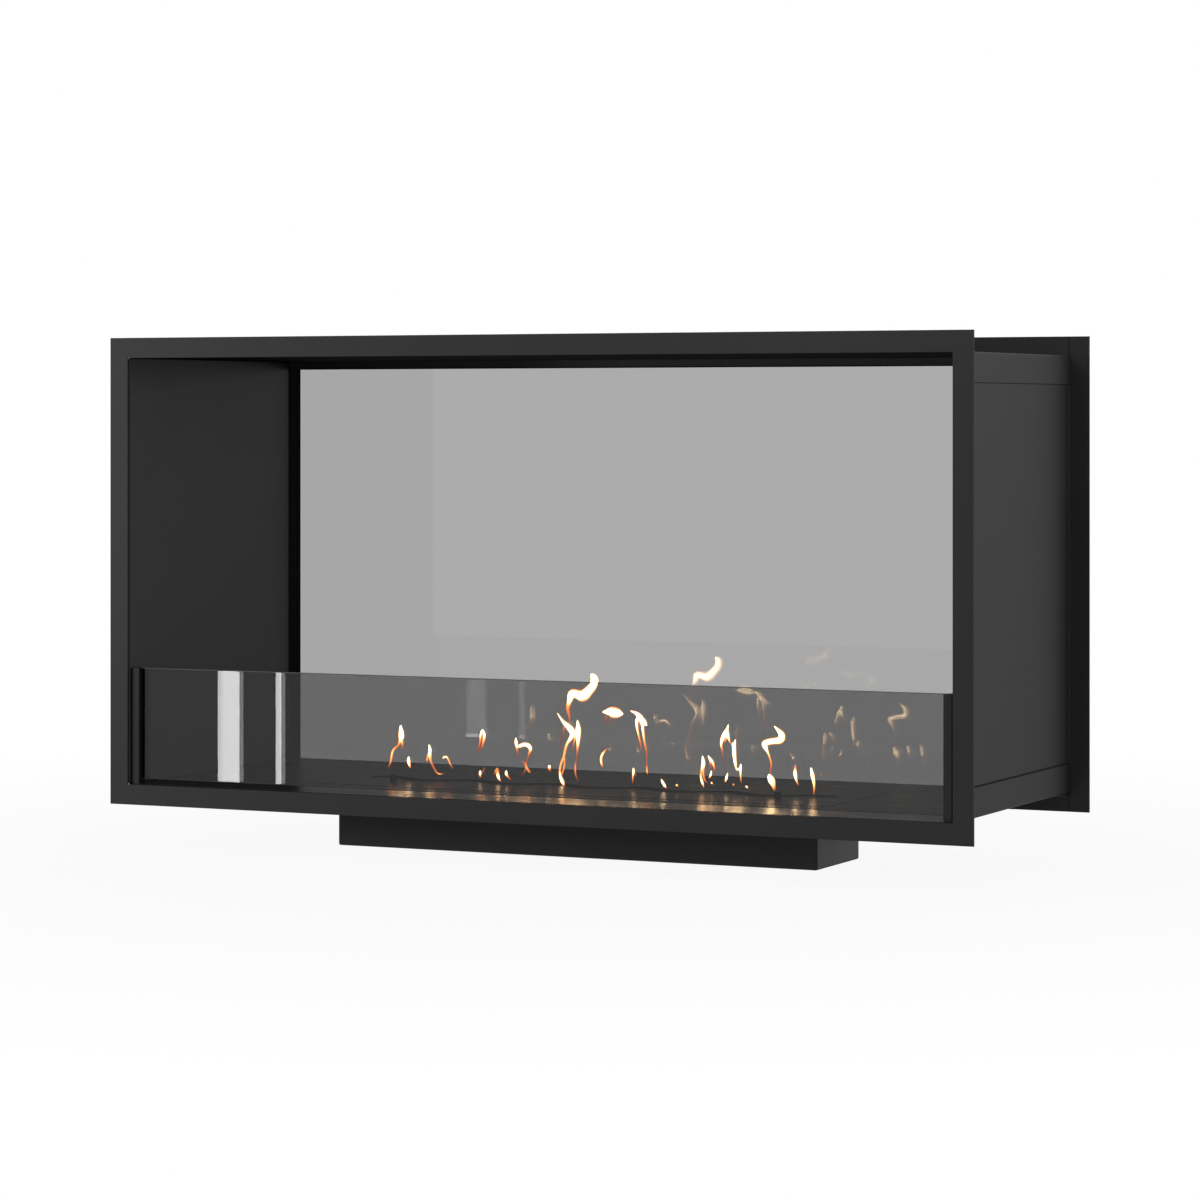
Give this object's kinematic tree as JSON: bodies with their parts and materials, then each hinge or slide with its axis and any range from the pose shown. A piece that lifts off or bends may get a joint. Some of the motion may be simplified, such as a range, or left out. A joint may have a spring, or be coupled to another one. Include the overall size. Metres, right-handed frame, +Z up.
{
  "type": "see-through bioethanol fireplace insert",
  "caption": "Black steel see-through fireplace insert with flanged openings, a low tinted front pane, a tinted rear pane and a slotted bioethanol burner in a drop housing.",
  "frame": {"origin": "centre of the burner housing's underside, the lowest face, at the middle of the casing's depth", "axes": "+X along the width, -Y out of the front opening, +Z up"},
  "size_m": [1.2, 0.44, 0.669],
  "materials": {
    "powder_coat": "matte black powder coat with a fine grain",
    "heat_paint_floor": "smooth black heat-resistant paint over brushed steel, satin gloss",
    "channel_paint": "matte black channel section",
    "tinted_front_glass": "grey-tinted toughened glass with ground edges",
    "tinted_rear_glass": "grey-tinted toughened glass",
    "black_seal": "matte black silicone and nylon",
    "zinc_steel": "zinc-plated fastener",
    "stainless_tank": "stainless sheet, heat-tinted near the flame",
    "ceramic_fibre": "ceramic fibre wool"
  },
  "bodies": {
    "root": {"front_flange": "powder_coat", "rear_flange": "powder_coat", "top_cover": "powder_coat", "floor_tray": "heat_paint_floor", "left_side_panel": "powder_coat", "right_side_panel": "powder_coat", "left_glass_holder": "channel_paint", "right_glass_holder": "channel_paint", "left_holder_seal": "black_seal", "right_holder_seal": "black_seal", "glass_rest_pads": "black_seal", "holder_screws": "zinc_steel", "holder_spacers": "black_seal", "holder_nuts": "zinc_steel", "rear_glass": "tinted_rear_glass", "rear_channel_left": "channel_paint", "rear_channel_right": "channel_paint", "rear_channel_top": "channel_paint", "rear_channel_rivets": "zinc_steel", "rear_glass_gasket": "black_seal", "burner_housing": "powder_coat", "housing_studs": "zinc_steel", "housing_nuts": "zinc_steel"},
    "front_glass": {"front_glass": "tinted_front_glass"},
    "burner": {"fuel_tank": "stainless_tank", "tank_baffles": "stainless_tank", "wick_pad": "ceramic_fibre", "wick_grille": "stainless_tank", "shutter_guide_frame": "stainless_tank"},
    "burner_plate": {"burner_top_plate": "heat_paint_floor", "lift_knobs": "heat_paint_floor"},
    "shutter": {"shutter": "stainless_tank"}
  },
  "joints": [
    {"name": "front_glass_lift", "type": "slide", "parent": "root", "child": "front_glass", "axis": [0, 0, 1], "range_m": [0, 0.15]},
    {"name": "burner_lift", "type": "slide", "parent": "root", "child": "burner", "axis": [0, 0, 1], "range_m": [0, 0.08]},
    {"name": "plate_lift", "type": "slide", "parent": "burner", "child": "burner_plate", "axis": [0, 0, 1], "range_m": [0, 0.06]},
    {"name": "shutter_slide", "type": "slide", "parent": "burner", "child": "shutter", "axis": [0, 1, 0], "range_m": [0, 0.034]}
  ]
}
